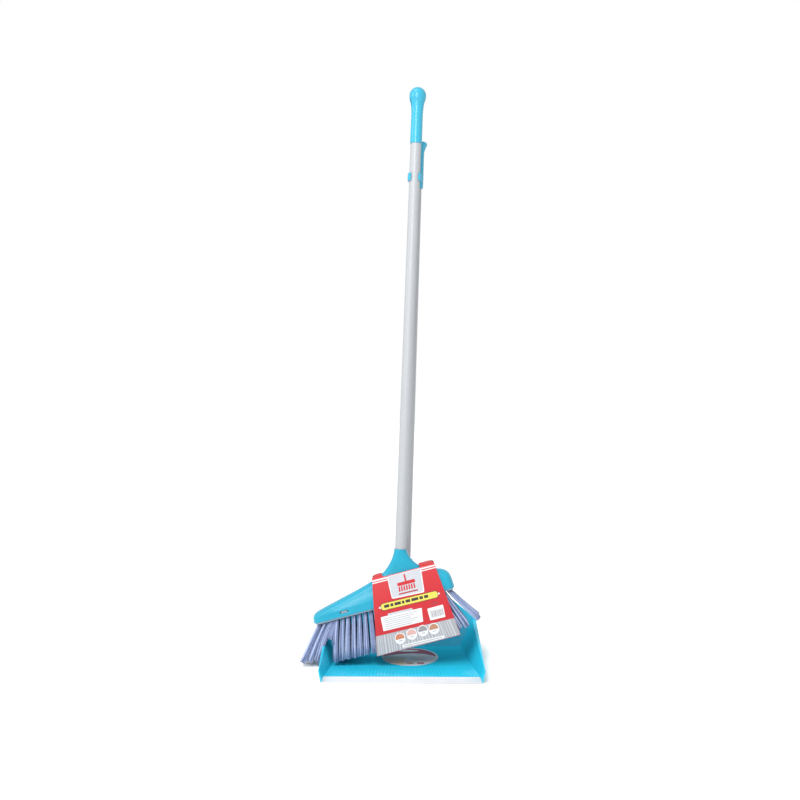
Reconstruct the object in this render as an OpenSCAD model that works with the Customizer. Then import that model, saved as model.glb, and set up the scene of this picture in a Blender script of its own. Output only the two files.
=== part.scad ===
// Upright dust pan with a long-handled broom clipped to its pole.
// Millimetres. X to the right, Y to the back, Z up. The pan's lip faces -Y, and the origin is on
// the underside of the pan's floor, midway between the lip and the back wall.

/* [Pan] */
// Inside width of the floor at the lip
pan_front_w = 254; // [200:1:320]
// Inside width of the floor at the back wall
pan_back_w = 208; // [160:1:260]
// Depth of the scoop from the lip's edge to the back wall
pan_depth = 207; // [160:1:260]
// Wall thickness of the pan
pan_wall = 2.2; // [1.6:0.1:3]
// Height of the side walls at the front end
side_front_h = 21; // [14:1:30]
// Height of the side walls at the back wall
side_back_h = 50; // [40:1:70]
// How far each side wall leans out at the back, at its full height
side_back_flare = 22; // [5:1:30]
// How far each side wall leans out at the front, at its full height
side_front_flare = 4; // [2:1:10]
// Width of the turned-out rim on the side walls
rim_w = 7; // [4:0.5:10]
// Length of the ramp behind the lip
ramp_l = 68; // [40:1:90]
// Height of the ramp's crest above the floor
ramp_h = 4; // [2:0.5:8]
// Depth of the soft lip, front to back
lip_l = 16; // [10:1:24]
// Height of the back wall's peak, where the pole goes in
peak_h = 158; // [120:1:200]

/* [Poles] */
// Outside diameter of both poles
pole_d = 19; // [16:0.5:25]
// Wall thickness of both poles
pole_wall = 0.6; // [0.4:0.1:1.2]
// Length of the pan's pole
pan_pole_l = 750; // [500:1:900]
// Sideways lean of the pan's pole in its socket
pan_pole_lean = 1.48; // [0:0.02:3]
// Depth that each pole's end sits in its socket
pole_seat = 8; // [4:0.5:12]
// Length of the thread on each pole's insert
thread_l = 24; // [16:1:32]

/* [Pan grip and clip] */
// Length of the grip on the pan's pole
pan_grip_l = 83; // [60:1:120]
// Wall thickness of the grip at its lower end
pan_grip_wall = 2.5; // [1.5:0.1:6]
// How far the grip's top flares out past its lower end
pan_grip_flare = 3.2; // [2:0.1:7]
// Height of the clip band
clip_h = 14; // [8:0.5:20]
// Thickness of the clip's arms
clip_t = 2.6; // [1.6:0.1:4]
// Half of the angle that the clip's mouth leaves open
clip_mouth = 38; // [25:1:60]
// Distance from the top of the pan's pole down to the clip's middle
clip_drop = 67.8; // [30:0.1:72]
// Gap between the grip and the broom's pole at the clip, front to back
clip_gap = 13.5; // [10:0.5:25]
// Sideways offset of the broom's pole from the pan's pole at the clip
clip_side = 3.8; // [0:0.1:6]

/* [Broom] */
// Backward lean of the broom's pole
broom_back_lean = 4.3; // [2:0.1:6]
// Sideways lean of the broom's pole
broom_side_lean = 2; // [0:0.1:4]
// Distance along the pole from the clip's middle up to the broom's grip
grip_to_clip = 62; // [20:1:120]
// Length of the broom's grip
grip_l = 102; // [100:1:140]
// Wall thickness of the grip
grip_wall = 1.2; // [1:0.1:4]
// How far the grip's round end swells past the grip
bulb_out = 4.1; // [2:0.1:8]
// Width of the hanging hole
hang_w = 7; // [5:0.5:9]
// Length of the hanging hole along the grip
hang_l = 14; // [8:0.5:18]

/* [Head] */
// Angle of the head's base across the pole
base_tilt = 16.5; // [0:0.5:25]
// How far the head's long side reaches past the pan's side wall
head_over = 31.5; // [25:0.5:38]
// Length of the base on the short side of the pole
head_right = 97; // [80:1:140]
// Thickness of the head, front to back
head_w = 40; // [33:1:60]
// Distance from the neck's top to the base, along the pole
head_drop = 87; // [76:1:110]
// Wall thickness of the neck at its top
neck_wall = 1.4; // [1.2:0.1:4]
// Wall thickness of the head
head_wall = 2.4; // [1.6:0.1:3.2]

/* [Bristles] */
// Thickness of the block that holds the tufts
block_t = 11; // [9:0.5:14]
// Number of tufts in a row
tuft_n = 24; // [12:1:26]
// Length of the tufts outside the block
tuft_l = 68; // [40:1:71]
// Root diameter of a tuft as a share of the distance between rows
tuft_fill = 0.625; // [0.4:0.005:0.65]
// Diameter of a tuft at its tips
tip_d = 7.6; // [5:0.2:8]
// Depth of the tuft holes
hole_depth = 8; // [6:0.5:8.5]
// Lean of the long side's last tufts away from the middle
splay_left = 29; // [0:1:35]
// Lean of the short side's last tufts away from the middle
splay_right = 24; // [0:1:35]
// Forward lean of the front row
row_fan = 12; // [0:1:16]

/* [Card sleeve] */
// Thickness of the card
card_t = 0.8; // [0.4:0.1:1.5]
// Height of the sleeve's fold above the head's base
card_top = 47; // [44:1:54]
// Depth of the sleeve below the head's base
card_drop = 75; // [74:0.5:80]

/* [Hidden] */
$fn = 64;
eps = 0.01;
fit_gap = 0.1;      // slack between pieces that are pushed together
thin = 0.4;         // a sliver used to mark a hull's corner

// Pan
front_y = -pan_depth / 2;
back_y = pan_depth / 2;
crest_y = front_y + lip_l;
ramp_y = crest_y + ramp_l;
crest_z = pan_wall + ramp_h;
pan_pole_foot_x = 2;                 // where the leaning pole's axis meets the floor's plane
socket_r = pole_d / 2 + 3.6;
socket_l = 62;
socket_y = back_y + pan_wall / 2;
neck_half = 16;                      // half width of the back wall under the socket
neck_z = peak_h - 12;                // where the back wall's slopes reach the socket
thread_r = pole_d / 2 - 1.2;
core_r = thread_r - 0.6;
thread_pitch = 4;
plug_l = 30;                         // length of an insert's plug inside the tube
insert_flange = 2;

// Pan grip, along the pan's pole from its lower end
pan_grip_d = pole_d + 2 * pan_grip_wall;
pan_pole_foot = (peak_h - pole_seat) / cos(pan_pole_lean);
pan_pole_end = pan_pole_foot + pan_pole_l;
grip_cap = 3;
pan_grip_foot = pan_pole_end + grip_cap + fit_gap - pan_grip_l;
clip_z = pan_pole_end * cos(pan_pole_lean) - clip_drop;
clip_x = pan_pole_foot_x + clip_z * tan(pan_pole_lean) - clip_side;
clip_y = socket_y - (pan_grip_d + pole_d) / 2 - clip_gap;
boss_w = 9;

// Broom, measured along its pole from the top of the neck
head_left = (pan_front_w + pan_back_w) / 4 + head_over;
tuft_room = 67.4;                    // room under the head's low end for the tufts
neck_h = head_drop + tuft_room + head_left * sin(base_tilt - broom_side_lean);
neck_to_clip = (clip_z - neck_h) / cos(broom_back_lean) / cos(broom_side_lean);
pole_show = neck_to_clip + grip_to_clip;
neck_d = pole_d + 2 * neck_wall;
neck_flare_out = (head_w - neck_d) / 2 - 2.3;
grip_d = pole_d + 2 * grip_wall;
bulb_d = grip_d + 2 * bulb_out;
clip_r = pole_d / 2 + 0.35;
grip_bore_l = 62;
grip_neck_z = 52;                    // where the grip starts to widen to its round end
bulb_z = grip_l - bulb_d / 2;
hang_drop = 13;                      // from the round end's middle down to the hole's middle
pole_top = pole_show + grip_bore_l - fit_gap;

// Head, in a frame along the base: u to the short side, v up from the base
block_end_gap = 4.5;                 // room between the block's ends and the shell's corners
block_l = head_left + head_right - 2 * (head_wall + block_end_gap);
block_u = (head_right - head_left) / 2;
block_w = head_w - 2 * head_wall - 0.4;
block_show = 1;                      // how far the block stands out of the shell
row_edge = 2.9;                      // from the outer rows' holes to the block's sides
row_pitch = (block_w - 2 * row_edge) / (3 + tuft_fill);
tuft_d = tuft_fill * row_pitch;
row_y = [for (r = [0:3]) (r - 1.5) * row_pitch];
tuft_margin = 4.5;
staple_w = 0.88 * tuft_d;
staple_h = 2.6;
staple_t = 0.5;
u_first = block_u - block_l / 2 + tuft_margin;
u_step = (block_l - 2 * tuft_margin) / (tuft_n - 1);
// Extra lean of the long side's tufts, which the pan's side wall pushes apart
straddle = [-17, -17.8, -18.6, 14, 11, 8, 5, 2];
function tuft_u(i) = u_first + i * u_step;
function spread(i) = -splay_left + (splay_left + splay_right) * i / (tuft_n - 1);
function tuft_lean(i) = spread(i) + (i < len(straddle) ? straddle[i] : 0);
function row_lean(r) = row_fan * (1 - 2 * r / 3);

// Card sleeve: half depths at the fold and at the foot
card_top_half = head_w / 2 - 2;
card_foot_half = head_w / 2 + 15;
card_ridge = 5.5;                     // how far the folds over the head rise to their ridge
card_ridge_half = 4;
card_hole_left = 15.1;                // how far the hole in the fold passes the neck's two sides
card_hole_right = 43.1;

// Points of a round corner: centre, radius, first and last angle
function arc(cx, cy, r, a0, a1, n = 8) =
  [for (k = [0:n]) let (a = a0 + (a1 - a0) * k / n) [cx + r * cos(a), cy + r * sin(a)]];

module on_pan_pole() {
  translate([pan_pole_foot_x, socket_y, 0]) rotate([0, pan_pole_lean, 0]) children();
}

module on_broom() {
  translate([clip_x, clip_y, clip_z])
    rotate([-broom_back_lean, broom_side_lean, 0])
      translate([0, 0, -neck_to_clip]) children();
}

module on_base() {
  on_broom() translate([0, 0, -head_drop]) rotate([0, -base_tilt, 0]) children();
}

// A solid drawn in the XZ plane and given a thickness along Y
module slab(y0, y1) {
  translate([0, y1, 0]) rotate([90, 0, 0]) linear_extrude(y1 - y0) children();
}

// ---- Pan ----

// Corners of the scoop's inner space, widened by the wall where asked
module scoop_space(grow) {
  z_top = side_back_h + 10;
  back_out = side_back_flare * z_top / side_back_h;
  front_out = side_front_flare * z_top / side_front_h;
  hull() {
    translate([0, back_y, 0]) scoop_end(pan_back_w / 2 + grow, back_out, z_top);
    translate([0, front_y, 0]) scoop_end(pan_front_w / 2 + grow, front_out, z_top);
  }
}

module scoop_end(half, out, z_top) {
  slab(-thin / 2, thin / 2)
    polygon([[-half, 0], [half, 0], [half + out, z_top], [-half - out, z_top]]);
}

// Everything under the sloping rim of the side walls
module under_rim(drop) {
  rotate([90, 0, 90]) translate([0, 0, -pan_front_w]) linear_extrude(2 * pan_front_w)
    polygon([[front_y, -1], [back_y + thin, -1], [back_y + thin, side_back_h - drop],
      [front_y, side_front_h - drop]]);
}

module side_rim() {
  front_x = pan_front_w / 2 + side_front_flare;
  back_x = pan_back_w / 2 + side_back_flare;
  hull() {
    translate([front_x, front_y, side_front_h - pan_wall]) cube([rim_w - 4, 1, pan_wall]);
    translate([back_x, back_y, side_back_h - pan_wall]) cube([rim_w, 1, pan_wall]);
  }
}

module floor_profile() {
  polygon([[back_y + pan_wall, 0], [back_y + pan_wall, pan_wall], [ramp_y, pan_wall],
    [crest_y, crest_z], [crest_y, crest_z - pan_wall], [ramp_y - 6, 0]]);
}

module back_outline(inset) {
  half = pan_back_w / 2 + pan_wall - inset;
  rim = pan_back_w / 2 + side_back_flare + rim_w - inset;
  polygon([[-half, inset], [half, inset], [rim, side_back_h - inset], [neck_half - inset, neck_z],
    [neck_half - inset, peak_h - 4], [-neck_half + inset, peak_h - 4],
    [-neck_half + inset, neck_z], [-rim, side_back_h - inset]]);
}

module back_wall() {
  rim_d = 5;
  slab(back_y, back_y + pan_wall) back_outline(0);
  slab(back_y, back_y + rim_d) difference() {
    back_outline(0);
    back_outline(2.4);
  }
}

module pan() color("deepskyblue") {
  difference() {
    union() {
      difference() {
        scoop_space(pan_wall);
        scoop_space(0);
      }
      intersection() {
        scoop_space(pan_wall / 2);
        rotate([90, 0, 90]) translate([0, 0, -pan_front_w]) linear_extrude(2 * pan_front_w)
          floor_profile();
      }
    }
    difference() {
      translate([-pan_front_w, front_y - 5, -2]) cube([2 * pan_front_w, pan_depth + 10, side_back_h + 20]);
      under_rim(0);
    }
  }
  for (side = [0, 1]) mirror([side, 0, 0]) side_rim();
  difference() {
    union() {
      back_wall();
      on_pan_pole() translate([0, 0, peak_h - socket_l]) cylinder(h = socket_l, r = socket_r);
      on_pan_pole() translate([0, 0, peak_h - socket_l - 26])
        cylinder(h = 26 + eps, r1 = 3, r2 = socket_r);
    }
    on_pan_pole() translate([0, 0, pan_pole_foot]) cylinder(h = 40, r = pole_d / 2 + fit_gap);
    on_pan_pole() translate([0, 0, pan_pole_foot - thread_l - 2])
      cylinder(h = thread_l + 3, r = thread_r + fit_gap);
  }
}

module pan_lip() color("whitesmoke") {
  half = pan_front_w / 2 - fit_gap;
  back_half = half - lip_l * (pan_front_w - pan_back_w) / 2 / pan_depth;
  intersection() {
    rotate([90, 0, 90]) translate([0, 0, -half]) linear_extrude(2 * half)
      polygon([[front_y, 0], [front_y + 5, 0], [crest_y - fit_gap, crest_z - pan_wall - 0.6],
        [crest_y - fit_gap, crest_z], [front_y + 1, 1.6], [front_y, 1]]);
    linear_extrude(crest_z + 1) polygon([[-half, front_y], [half, front_y],
      [back_half, crest_y], [-back_half, crest_y]]);
  }
}

module pan_label() color("firebrick") {
  label_l = 98;
  label_w = 0.512 * pan_depth;
  label_t = 0.3;
  translate([14, ramp_y + 2 + label_w / 2, pan_wall]) linear_extrude(label_t)
    polygon([for (a = [0:10:350]) [label_l / 2 * cos(a), label_w / 2 * sin(a)]]);
}

// ---- Poles ----

module tube(length) {
  difference() {
    cylinder(h = length, r = pole_d / 2);
    translate([0, 0, -1]) cylinder(h = length + 2, r = pole_d / 2 - pole_wall);
  }
}

// A plug for the tube's end with a ringed thread below it
module insert() {
  translate([0, 0, fit_gap]) cylinder(h = plug_l, r = pole_d / 2 - pole_wall - fit_gap / 2);
  translate([0, 0, -insert_flange]) cylinder(h = insert_flange, r = thread_r);
  translate([0, 0, -thread_l]) cylinder(h = thread_l + plug_l / 2, r = core_r);
  for (z = [thread_pitch : thread_pitch : thread_l - thread_pitch / 2])
    translate([0, 0, -z - thread_pitch / 4]) cylinder(h = thread_pitch / 2, r = thread_r);
}

module pan_pole() color("silver")
  on_pan_pole() translate([0, 0, pan_pole_foot]) tube(pan_pole_l);

module pan_pole_insert() color("dimgray")
  on_pan_pole() translate([0, 0, pan_pole_foot]) insert();

module broom_pole() color("silver")
  on_broom() translate([0, 0, -pole_seat]) tube(pole_top + pole_seat);

module broom_pole_insert() color("dimgray")
  on_broom() translate([0, 0, -pole_seat]) insert();

// ---- Pan grip and clip ----

module pan_grip() color("deepskyblue") {
  r0 = pan_grip_d / 2;
  r1 = r0 + pan_grip_flare;
  flare_z = pan_grip_l - 18;
  difference() {
    union() {
      on_pan_pole() translate([0, 0, pan_grip_foot]) difference() {
        rotate_extrude() polygon(concat(
          [[0, 0], [r0 - 2, 0]], arc(r0 - 2, 2, 2, -90, 0, 4),
          [[r0 + 0.8, flare_z]],
          [for (k = [1:6]) [r0 + 0.8 + (r1 - r0 - 0.8) * pow(k / 6, 2), flare_z + 14 * k / 6]],
          arc(r1 - 2, pan_grip_l - 2, 2, 0, 90, 4), [[0, pan_grip_l]]));
        translate([0, 0, -1]) cylinder(h = pan_grip_l - grip_cap + 1, r = pole_d / 2 + fit_gap);
      }
      boss();
    }
    on_pan_pole() cylinder(h = pan_pole_end, r = pole_d / 2 + fit_gap);
  }
}

// The block on the grip's front that carries the clip
module boss() {
  boss_front = socket_y - pan_grip_d / 2 - 3;
  translate([clip_x + clip_side - boss_w / 2, boss_front, clip_z - clip_h / 2 - 1.5])
    cube([boss_w, socket_y - boss_front, clip_h + 3]);
}

module pan_clip() color("deepskyblue") {
  boss_front = socket_y - pan_grip_d / 2 - 3;
  clip_out = clip_r + clip_t;
  difference() {
    union() {
      on_broom() translate([0, 0, neck_to_clip - clip_h / 2]) cylinder(h = clip_h, r = clip_out);
      translate([clip_x - boss_w / 2 + clip_side / 2, clip_y, clip_z - clip_h / 2])
        cube([boss_w, boss_front - clip_y, clip_h]);
    }
    on_broom() translate([0, 0, neck_to_clip - clip_h]) {
      cylinder(h = 2 * clip_h, r = clip_r);
      mouth_half = 2 * clip_out * tan(clip_mouth);
      linear_extrude(2 * clip_h)
        polygon([[0, 0], [-mouth_half, -2 * clip_out], [mouth_half, -2 * clip_out]]);
    }
  }
}

// ---- Broom grip ----

module broom_grip() color("skyblue") {
  r0 = grip_d / 2;
  rb = bulb_d / 2;
  on_broom() translate([0, 0, pole_show]) difference() {
    rotate_extrude() polygon(concat(
      [[0, 0], [r0 - 1, 0]], arc(r0 - 1, 1, 1, -90, 0, 3),
      [for (k = [0:8]) [r0 + (rb * cos(20) - r0) * pow(k / 8, 2.4),
        grip_neck_z + (bulb_z - rb * sin(20) - grip_neck_z) * k / 8]],
      arc(0, bulb_z, rb, -14, 90, 14)));
    translate([0, 0, -1]) cylinder(h = grip_bore_l + 1, r = pole_d / 2 + fit_gap / 2);
    translate([0, 0, bulb_z - hang_drop]) rotate([0, 90, 0]) {
      for (side = [-1, 1]) translate([side * (hang_l - hang_w) / 2, 0, -bulb_d])
        cylinder(h = 2 * bulb_d, r = hang_w / 2);
      translate([-(hang_l - hang_w) / 2, -hang_w / 2, -bulb_d])
        cube([hang_l - hang_w, hang_w, 2 * bulb_d]);
    }
  }
}

// ---- Head ----

// Outline of the head in u and v, drawn in by an inset
module head_outline(inset) {
  left_r = 10;
  right_r = 22;
  left_h = 18;
  left_v = left_h - inset;
  right_v = 35 - inset;
  polygon(concat(
    [[-head_left + inset, 0], [head_right + 1 - inset, 0]],
    arc(head_right - right_r, right_v - right_r, right_r - inset / 2, 0, 90, 6),
    [[48, 41 - inset], [-38, 42 - inset]],
    arc(-head_left + left_r + 4, left_v - left_r, left_r - inset / 2, 105, 180, 5)));
}

// Cross-section of the head, seen along its length
module head_section(inset) {
  half = head_w / 2 - inset;
  top = 46;
  polygon([[-half, -eps], [half, -eps], [half, 14], [half - 3, 28], [half - 9, top],
    [-half + 9, top], [-half + 3, 28], [-half, 14]]);
}

module head_body(inset) {
  intersection() {
    slab(-head_w, head_w) head_outline(inset);
    rotate([90, 0, 90]) translate([0, 0, -2 * head_left]) linear_extrude(4 * head_left)
      head_section(inset);
  }
}

// The round neck that flares into the shell, along the pole's own line
module neck_flare() {
  r0 = neck_d / 2;
  flare = 50;
  rotate_extrude() polygon(concat(
    [[0, 0], [r0, 0]],
    [for (k = [1:7]) [r0 + neck_flare_out * pow(k / 7, 2.2), -flare * k / 7]],
    [[0, -flare]]));
}

module broom_head() color("deepskyblue") {
  difference() {
    union() {
      on_base() head_body(0);
      on_broom() neck_flare();
      on_broom() neck_web();
    }
    on_base() difference() {
      translate([0, 0, -eps]) head_body(head_wall);
      on_neck_post();
    }
    on_broom() translate([0, 0, -pole_seat]) cylinder(h = 40, r = pole_d / 2 + fit_gap);
    on_broom() translate([0, 0, -pole_seat - thread_l - 2])
      cylinder(h = thread_l + 3, r = thread_r + fit_gap);
    on_base() translate([-90, -head_w, 5]) cube([14, head_w + 8, 4]);
  }
}

// The web that carries the neck's flare out along the head on both sides
module neck_web() {
  slab(-neck_d / 2 + 0.5, neck_d / 2 - 0.5) polygon([[-neck_d / 2, -2], [neck_d / 2, -2],
    [17, -14], [24, -20.5], [33, -26.5], [48, -31], [40, -45], [-42, -54], [-31, -44],
    [-21, -32], [-13.3, -14]]);
}

// The post inside the shell that the thread is cut in, in the base's frame
module on_neck_post() {
  rotate([0, base_tilt, 0]) translate([0, 0, head_drop - pole_seat - thread_l - 5])
    cylinder(h = 60, r = thread_r + 2.6);
}

module bristle_block() color("slategray") {
  tab_u = -90 + 7;
  on_base() difference() {
    union() {
      translate([block_u - block_l / 2, -block_w / 2, -block_show])
        cube([block_l, block_w, block_t - eps]);
      translate([tab_u - 6, -head_w / 2 + 0.6, 5.4]) cube([12, 6, 3.2]);
    }
    for (r = [0:3]) for (i = [0:tuft_n - 1]) in_hole(r, i)
      translate([0, 0, -tuft_d]) cylinder(h = hole_depth + tuft_d + fit_gap, r = (tuft_d + fit_gap) / 2);
  }
}

// The place of a tuft: its hole's mouth, with +Z up the hole
module in_hole(r, i) {
  translate([tuft_u(i), row_y[r], -block_show])
    rotate([-row_lean(r), 0, 0]) rotate([0, tuft_lean(i) * -1, 0]) children();
}

module tuft(r, i) {
  on_base() in_hole(r, i) {
    difference() {
      cylinder(h = hole_depth, r = tuft_d / 2);
      staple(eps);
    }
    mirror([0, 0, 1]) cylinder(h = tuft_l, r1 = tuft_d / 2, r2 = tip_d / 2);
  }
}

module tufts_row(r) color("lightsteelblue") for (i = [1:tuft_n - 2]) tuft(r, i);

module tufts_ends() color("lightsteelblue")
  for (r = [0:3]) for (i = [0, tuft_n - 1]) tuft(r, i);

// Flat wire staples across the bottoms of the tuft holes
module staples_row(r) color("gainsboro")
  for (i = [0:tuft_n - 1]) on_base() in_hole(r, i) staple(0);

module staple(slack) {
  translate([-staple_w / 2 - slack, -staple_t / 2 - slack, hole_depth - staple_h - slack])
    cube([staple_w + 2 * slack, staple_t + 2 * slack, staple_h + 2 * slack]);
}

// ---- Card sleeve ----

module card_section(inset) {
  top_half = card_top_half - inset;
  foot_half = card_foot_half - inset;
  polygon([[-foot_half, -card_drop + inset], [foot_half, -card_drop + inset],
    [top_half, card_top - inset / 2], [card_ridge_half, card_top + card_ridge - inset],
    [-card_ridge_half, card_top + card_ridge - inset], [-top_half, card_top - inset / 2]]);
}

// The sleeve seen from the front, with rounded upper corners
module card_front() {
  top = card_top + card_ridge + 1;
  polygon([[-56, -card_drop - 1], [87.5, -card_drop - 1], [74, top - 8], [71.5, top - 3],
    [67, top], [-26, top], [-30.5, top - 3], [-33, top - 8]]);
}

module card_sleeve() color("crimson") {
  on_base() difference() {
    intersection() {
      rotate([90, 0, 90]) translate([0, 0, -200]) linear_extrude(400) card_section(0);
      slab(-60, 60) card_front();
    }
    rotate([90, 0, 90]) translate([0, 0, -201]) linear_extrude(402) card_section(card_t);
    translate([-neck_d / 2 - card_hole_left, card_t - card_top_half, card_top - 6])
      cube([neck_d + card_hole_left + card_hole_right, 2 * (card_top_half - card_t), card_ridge + 12]);
  }
}

pan();
pan_lip();
pan_label();
pan_pole();
pan_pole_insert();
pan_grip();
pan_clip();
broom_pole();
broom_grip();
broom_pole_insert();
broom_head();
bristle_block();
tufts_row(0);  // tufts_row_1
tufts_row(1);  // tufts_row_2
tufts_row(2);  // tufts_row_3
tufts_row(3);  // tufts_row_4
tufts_ends();
staples_row(0);  // staples_row_1
staples_row(1);  // staples_row_2
staples_row(2);  // staples_row_3
staples_row(3);  // staples_row_4
card_sleeve();
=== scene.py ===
import math
import random

import bpy
from mathutils import Matrix, Vector


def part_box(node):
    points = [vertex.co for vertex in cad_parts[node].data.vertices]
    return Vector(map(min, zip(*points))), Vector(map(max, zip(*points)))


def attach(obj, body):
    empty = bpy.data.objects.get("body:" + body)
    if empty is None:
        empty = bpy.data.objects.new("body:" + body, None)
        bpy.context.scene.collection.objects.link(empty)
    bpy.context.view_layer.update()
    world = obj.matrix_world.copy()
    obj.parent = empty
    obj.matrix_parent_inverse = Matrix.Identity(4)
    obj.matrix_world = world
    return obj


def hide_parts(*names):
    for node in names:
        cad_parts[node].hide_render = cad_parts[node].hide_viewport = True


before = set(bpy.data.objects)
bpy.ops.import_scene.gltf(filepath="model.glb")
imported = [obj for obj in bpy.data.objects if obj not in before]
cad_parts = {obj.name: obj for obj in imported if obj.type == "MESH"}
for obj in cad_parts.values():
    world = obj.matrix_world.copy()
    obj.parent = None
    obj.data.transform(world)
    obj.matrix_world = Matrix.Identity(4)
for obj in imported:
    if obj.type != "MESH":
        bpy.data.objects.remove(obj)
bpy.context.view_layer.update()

bpy.context.scene.view_settings.view_transform = "Standard"

# Pieces are drawn in millimetres in a space of their own, then put in place in metres


# small tools used all through

def calm():
    # object mode with nothing selected
    if bpy.context.object and bpy.context.object.mode != "OBJECT":
        bpy.ops.object.mode_set(mode="OBJECT")
    bpy.ops.object.select_all(action="DESELECT")


def focus(piece):
    calm()
    piece.select_set(True)
    bpy.context.view_layer.objects.active = piece
    return piece


def edit(piece):
    focus(piece)
    bpy.ops.object.mode_set(mode="EDIT")


def pick(piece, test, kind="FACE"):
    # selects what passes the test: faces by middle and normal,
    # edges by middle and direction, corners by place
    bpy.ops.mesh.select_mode(type=kind)
    bpy.ops.mesh.select_all(action="DESELECT")
    bpy.ops.object.mode_set(mode="OBJECT")
    mesh = piece.data
    if kind == "FACE":
        for face in mesh.polygons:
            face.select = test(face.center, face.normal)
    elif kind == "EDGE":
        for line in mesh.edges:
            a, b = (mesh.vertices[i].co for i in line.vertices)
            line.select = test((a + b) / 2, (b - a).normalized())
    else:
        for corner in mesh.vertices:
            corner.select = test(corner.co)
    bpy.ops.object.mode_set(mode="EDIT")


def named(name):
    piece = bpy.context.object
    piece.name = name
    piece.data.name = name
    return piece


def finishWith(piece, kind, **settings):
    # adds a modifier, sets it and applies it
    focus(piece)
    bpy.ops.object.modifier_add(type=kind)
    change = piece.modifiers[-1]
    for key, value in settings.items():
        setattr(change, key, value)
    bpy.ops.object.modifier_apply(modifier=change.name)


def combine(piece, tool, how="DIFFERENCE"):
    # cuts the tool out of the piece, or unites them, and takes the tool away
    finishWith(piece, "BOOLEAN", operation=how, object=tool, solver="EXACT")
    bpy.data.objects.remove(tool)


def tidyMesh(piece):
    edit(piece)
    bpy.ops.mesh.select_all(action="SELECT")
    bpy.ops.mesh.remove_doubles(threshold=0.001)
    bpy.ops.mesh.normals_make_consistent(inside=False)
    bpy.ops.object.mode_set(mode="OBJECT")


def smooth(piece, angle=35):
    focus(piece)
    bpy.ops.object.shade_smooth_by_angle(angle=math.radians(angle))


def settle(piece, space):
    # puts a finished piece in its place, with its object left at the origin
    piece.matrix_world = space @ piece.matrix_world
    focus(piece)
    bpy.ops.object.transform_apply(location=True, rotation=True, scale=True)
    bpy.context.view_layer.update()
    return piece


def joined(pieces, name):
    calm()
    for piece in pieces:
        piece.select_set(True)
    bpy.context.view_layer.objects.active = pieces[0]
    if len(pieces) > 1:
        bpy.ops.object.join()
    return named(name)


def drawnUp(name, rings, sides=64, closeFirst=True, closeLast=True):
    # a circle extruded upwards, ring by ring; each ring is (height, radius)
    calm()
    z, r = rings[0]
    bpy.ops.mesh.primitive_circle_add(vertices=sides, radius=r, location=(0, 0, 0))
    piece = named(name)
    edit(piece)
    bpy.ops.mesh.select_all(action="SELECT")
    bpy.ops.transform.translate(value=(0, 0, z))
    if closeFirst:
        bpy.ops.mesh.edge_face_add()
        pick(piece, lambda middle, way: True, "EDGE")
    for nextZ, nextR in rings[1:]:
        bpy.ops.mesh.extrude_edges_move(TRANSFORM_OT_translate={"value": (0, 0, nextZ - z)})
        bpy.ops.transform.resize(value=(nextR / r, nextR / r, 1), center_override=(0, 0, nextZ))
        z, r = nextZ, nextR
    if closeLast:
        bpy.ops.mesh.edge_face_add()
    bpy.ops.object.mode_set(mode="OBJECT")
    tidyMesh(piece)
    return piece


def curveThrough(points, steps):
    # evenly eased points through a few chosen ones, as (height, radius)
    line = []
    for i in range(len(points) - 1):
        before = points[max(i - 1, 0)]
        a, b = points[i], points[i + 1]
        after = points[min(i + 2, len(points) - 1)]
        for k in range(steps):
            t = k / steps
            line.append(tuple(
                0.5 * (2 * q + (r - p) * t + (2 * p - 5 * q + 4 * r - s) * t ** 2
                       + (3 * q - p - 3 * r + s) * t ** 3)
                for p, q, r, s in zip(before, a, b, after)))
    return line + [points[-1]]


# where things are: spaces in millimetres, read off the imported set

tube = {"radius": 9.5, "wall": 0.6, "edge": 0.15, "baseTilt": 16.5, "headDrop": 87, "seat": 8}


def poleSpace(node):
    # the space of a leaning tube: millimetres, +Z up its middle line from its lower end
    low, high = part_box(node)
    r = tube["radius"] / 1000
    bottom = Vector((low.x + r, low.y + r, low.z))
    top = Vector((high.x - r, high.y - r, high.z))
    up = (top - bottom).normalized()
    side = Vector((up.z, 0, -up.x)).normalized()
    back = up.cross(side)
    turn = Matrix((side, back, up)).transposed().to_4x4()
    return Matrix.Translation(bottom) @ turn @ Matrix.Scale(0.001, 4)


metres = Matrix.Scale(0.001, 4)
panPoleSpace = poleSpace("pan_pole")
broomSpace = poleSpace("broom_pole") @ Matrix.Translation((0, 0, tube["seat"]))
baseSpace = (broomSpace @ Matrix.Translation((0, 0, -tube["headDrop"]))
             @ Matrix.Rotation(math.radians(-tube["baseTilt"]), 4, "Y"))
uprightSheet = Matrix.Rotation(math.radians(90), 4, "X")   # a drawing in XY stood up to face the front


# finishes, each a small tree of nodes on Object coordinates

def newFinish(name):
    finish = bpy.data.materials.new(name)
    finish.use_nodes = True
    tree = finish.node_tree
    return finish, tree, tree.nodes["Principled BSDF"]


def grain(tree, size, detail=3, stretch=(1, 1, 1)):
    # noise whose features are about that many millimetres across
    place = tree.nodes.new("ShaderNodeTexCoord")
    fit = tree.nodes.new("ShaderNodeMapping")
    fit.inputs["Scale"].default_value = stretch
    noise = tree.nodes.new("ShaderNodeTexNoise")
    noise.inputs["Scale"].default_value = 1000 / size
    noise.inputs["Detail"].default_value = detail
    tree.links.new(place.outputs["Object"], fit.inputs["Vector"])
    tree.links.new(fit.outputs["Vector"], noise.inputs["Vector"])
    return noise.outputs["Fac"]


def spread(tree, source, low, high):
    # noise mostly lies between 0.3 and 0.7, and that range is opened out to low and high
    span = tree.nodes.new("ShaderNodeMapRange")
    span.inputs["From Min"].default_value = 0.3
    span.inputs["From Max"].default_value = 0.7
    span.inputs["To Min"].default_value = low
    span.inputs["To Max"].default_value = high
    tree.links.new(source, span.inputs["Value"])
    return span.outputs["Result"]


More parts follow.
